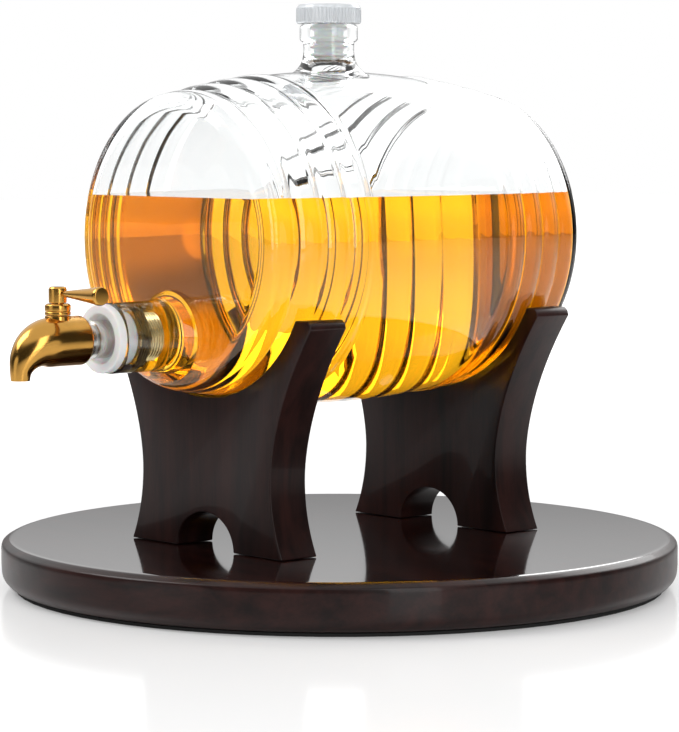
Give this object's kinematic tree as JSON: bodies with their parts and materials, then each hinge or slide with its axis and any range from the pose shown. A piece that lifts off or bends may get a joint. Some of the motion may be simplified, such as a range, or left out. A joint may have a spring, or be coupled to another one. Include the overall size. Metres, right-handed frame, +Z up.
{
  "type": "decanter with tap",
  "caption": "Glass barrel decanter lying in two wooden cradles on a round board, with a lever tap, a bung and a pull-out stopper.",
  "frame": {"origin": "middle of the felt's underside, where the board stands", "axes": "+Z up, the barrel lies along Y and the tap points to -Y, its closed lever to +X"},
  "size_m": [0.33, 0.3613, 0.2821],
  "materials": {
    "felt": "matte",
    "dark_wood": "polished",
    "steel": "satin",
    "clear_glass": "polished",
    "milky_silicone": "satin",
    "gilt_brass": "polished",
    "black_rubber": "matte",
    "clear_plastic": "polished"
  },
  "bodies": {
    "stand": {"base_felt": "felt", "base_board": "dark_wood", "front_cradle": "dark_wood", "rear_cradle": "dark_wood", "cradle_screw_1": "steel", "cradle_screw_2": "steel", "cradle_screw_3": "steel", "cradle_screw_4": "steel"},
    "decanter": {"decanter_glass": "clear_glass", "silicone_bung": "milky_silicone", "tap_shank": "steel", "inner_washer": "steel", "lock_nut": "steel", "tap_body": "gilt_brass", "bonnet_nut": "gilt_brass"},
    "valve": {"valve_plug": "gilt_brass", "plug_ring_1": "black_rubber", "plug_ring_2": "black_rubber", "lever_post": "gilt_brass", "tap_lever": "gilt_brass"},
    "stopper": {"stopper_cap": "clear_plastic", "stopper_sleeve": "milky_silicone"}
  },
  "joints": [
    {"name": "decanter_lift", "type": "slide", "parent": "stand", "child": "decanter", "axis": [0, 0, 1], "range_m": [0, 0.06]},
    {"name": "tap_turn", "type": "hinge", "parent": "decanter", "child": "valve", "pos_m": [0, -0.1707, 0.127], "axis": [0, 0, -1], "range_deg": [0, 90]},
    {"name": "stopper_pull", "type": "slide", "parent": "decanter", "child": "stopper", "axis": [0, 0, 1], "range_m": [0, 0.035]}
  ]
}
